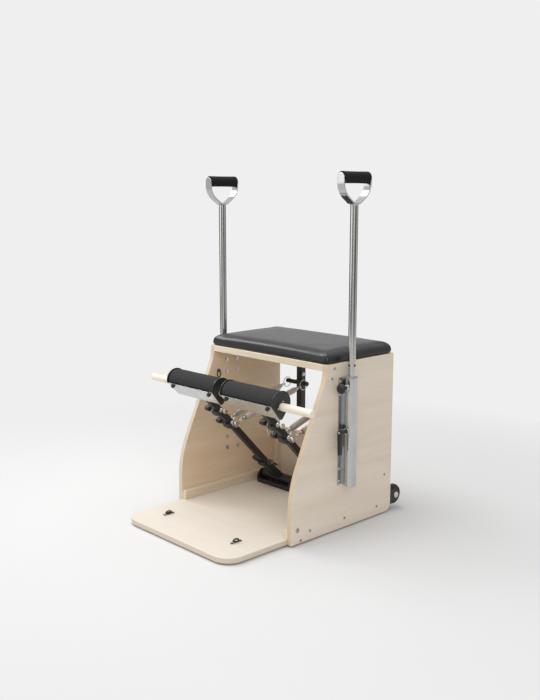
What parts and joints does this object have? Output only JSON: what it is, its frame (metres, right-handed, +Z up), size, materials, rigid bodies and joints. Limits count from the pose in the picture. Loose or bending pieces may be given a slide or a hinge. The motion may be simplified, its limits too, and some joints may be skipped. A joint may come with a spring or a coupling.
{
  "type": "pilates chair",
  "caption": "Plywood box seat with spring-loaded split foot pedals joined by a wooden push bar, height-adjustable stirrup handles at its sides and transport wheels behind.",
  "frame": {"origin": "on the floor under the middle of the overall box", "axes": "+X to the right seen from the front, +Y to the back, +Z up; the pedals face -Y"},
  "size_m": [0.78, 0.812, 1.1555],
  "materials": {
    "plywood": "satin lacquer",
    "pale_wood": "smooth",
    "seat_vinyl": "fine grain",
    "foam": "matte",
    "black_steel": "satin powder coat",
    "grey_sheet": "satin",
    "chrome": "polished",
    "satin_aluminium": "brushed",
    "zinc_steel": "satin",
    "spring_steel": "bright",
    "black_plastic": "satin",
    "rubber": "matte"
  },
  "bodies": {
    "frame": {"back_panel": "plywood", "base_board": "plywood", "base_feet": "rubber", "corner_battens": "plywood", "floor_battens": "plywood", "frame_bolts": "zinc_steel", "handle_socket_left": "satin_aluminium", "handle_socket_right": "satin_aluminium", "panel_screws": "zinc_steel", "pivot_bracket_left": "black_steel", "pivot_bracket_right": "black_steel", "pivot_shafts": "zinc_steel", "seat_board": "plywood", "seat_cushion": "seat_vinyl", "side_panel_left": "plywood", "side_panel_right": "plywood", "socket_bushes": "black_plastic", "socket_screws": "zinc_steel", "spring_left_inner": "spring_steel", "spring_left_outer": "spring_steel", "spring_post_left": "black_steel", "spring_post_right": "black_steel", "spring_right_inner": "spring_steel", "spring_right_outer": "spring_steel", "spring_rings_left": "spring_steel", "spring_rings_right": "spring_steel", "strap_eyes": "black_steel", "wheel_axles": "zinc_steel", "wheel_brackets": "black_steel"},
    "left_pedal": {"pedal_arm_left": "black_steel", "arm_bushes_left": "black_plastic", "arm_pins_left": "chrome", "arm_knobs_left": "black_plastic", "pedal_pan_left": "grey_sheet", "pedal_end_plates_left": "black_steel", "pedal_pad_left": "foam", "pedal_bumpers_left": "rubber"},
    "left_wing_nut": {"arm_wing_nut_left": "black_plastic"},
    "left_handle": {"handle_pole_left": "chrome", "handle_loop_left": "chrome", "handle_grip_left": "foam"},
    "left_plunger": {"index_plunger_left": "black_plastic"},
    "left_lever": {"clamp_lever_left": "black_plastic"},
    "left_wheel": {"wheel_left": "black_plastic"},
    "right_pedal": {"pedal_arm_right": "black_steel", "arm_bushes_right": "black_plastic", "arm_pins_right": "chrome", "arm_knobs_right": "black_plastic", "pedal_pan_right": "grey_sheet", "pedal_end_plates_right": "black_steel", "pedal_pad_right": "foam", "pedal_bumpers_right": "rubber"},
    "right_wing_nut": {"arm_wing_nut_right": "black_plastic"},
    "right_handle": {"handle_pole_right": "chrome", "handle_loop_right": "chrome", "handle_grip_right": "foam"},
    "right_plunger": {"index_plunger_right": "black_plastic"},
    "right_lever": {"clamp_lever_right": "black_plastic"},
    "right_wheel": {"wheel_right": "black_plastic"},
    "push_bar": {"push_bar": "pale_wood"}
  },
  "joints": [
    {"name": "left_pedal_hinge", "type": "hinge", "parent": "frame", "child": "left_pedal", "pos_m": [-0.138, 0.205, 0.055], "axis": [1, 0, 0], "range_deg": [0, 44], "stiffness_Nm_per_rad": 40, "springref_deg": -34.38, "deforming": ["spring_left_outer", "spring_left_inner", "spring_rings_left"]},
    {"name": "right_pedal_hinge", "type": "hinge", "parent": "frame", "child": "right_pedal", "pos_m": [0.138, 0.205, 0.055], "axis": [1, 0, 0], "range_deg": [0, 44], "stiffness_Nm_per_rad": 40, "springref_deg": -34.38, "deforming": ["spring_right_outer", "spring_right_inner", "spring_rings_right"]},
    {"name": "push_bar_slide", "type": "slide", "parent": "left_pedal", "child": "push_bar", "axis": [1, 0, 0], "range_m": [0, 0.25]},
    {"name": "left_handle_slide", "type": "slide", "parent": "frame", "child": "left_handle", "axis": [0, 0, 1], "range_m": [0, 0.2]},
    {"name": "left_plunger_slide", "type": "slide", "parent": "frame", "child": "left_plunger", "axis": [0, 1, 0], "range_m": [0, 0.007]},
    {"name": "left_lever_turn", "type": "hinge", "parent": "frame", "child": "left_lever", "pos_m": [-0.309, 0.086, 0.342], "axis": [0, 1, 0], "range_deg": [0, 90]},
    {"name": "left_wheel_spin", "type": "hinge", "parent": "frame", "child": "left_wheel", "pos_m": [-0.259, 0.371, 0.05], "axis": [1, 0, 0], "continuous": true},
    {"name": "left_wing_nut_turn", "type": "hinge", "parent": "left_pedal", "child": "left_wing_nut", "pos_m": [-0.138, 0.12942, 0.13354], "axis": [1, 0, 0], "continuous": true},
    {"name": "right_handle_slide", "type": "slide", "parent": "frame", "child": "right_handle", "axis": [0, 0, 1], "range_m": [0, 0.2]},
    {"name": "right_plunger_slide", "type": "slide", "parent": "frame", "child": "right_plunger", "axis": [0, 1, 0], "range_m": [0, 0.007]},
    {"name": "right_lever_turn", "type": "hinge", "parent": "frame", "child": "right_lever", "pos_m": [0.309, 0.086, 0.342], "axis": [0, -1, 0], "range_deg": [0, 90]},
    {"name": "right_wheel_spin", "type": "hinge", "parent": "frame", "child": "right_wheel", "pos_m": [0.259, 0.371, 0.05], "axis": [1, 0, 0], "continuous": true},
    {"name": "right_wing_nut_turn", "type": "hinge", "parent": "right_pedal", "child": "right_wing_nut", "pos_m": [0.138, 0.12942, 0.13354], "axis": [1, 0, 0], "continuous": true}
  ],
  "couplings": [
    {"joint": "right_pedal_hinge", "follows": "left_pedal_hinge", "ratio": 1}
  ]
}
